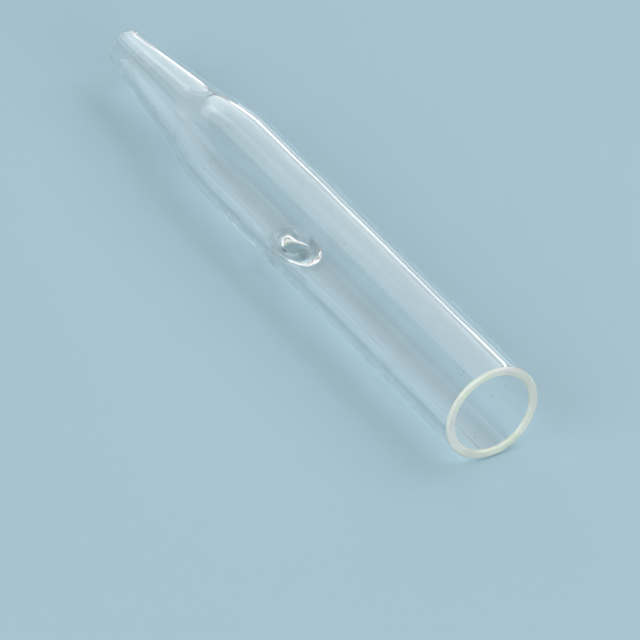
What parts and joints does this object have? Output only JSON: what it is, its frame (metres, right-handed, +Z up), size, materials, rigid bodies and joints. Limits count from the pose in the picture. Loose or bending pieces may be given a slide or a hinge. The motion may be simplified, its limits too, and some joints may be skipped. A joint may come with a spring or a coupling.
{
  "type": "drawn glass tube with side port",
  "caption": "Thin-walled glass tube with a square fire-polished mouth, drawn over a soft shoulder to a slender open tip, with a round rolled-rim port in its side.",
  "frame": {"origin": "on the surface the tube lies on, under the middle of its length", "axes": "+X along the tube towards the mouth, +Z up, with the port facing down on -Z"},
  "size_m": [0.0878, 0.0122, 0.0122],
  "materials": {
    "clear_glass": "clear, fire-polished"
  },
  "bodies": {
    "root": {"glass_tube": "clear_glass"}
  },
  "joints": []
}
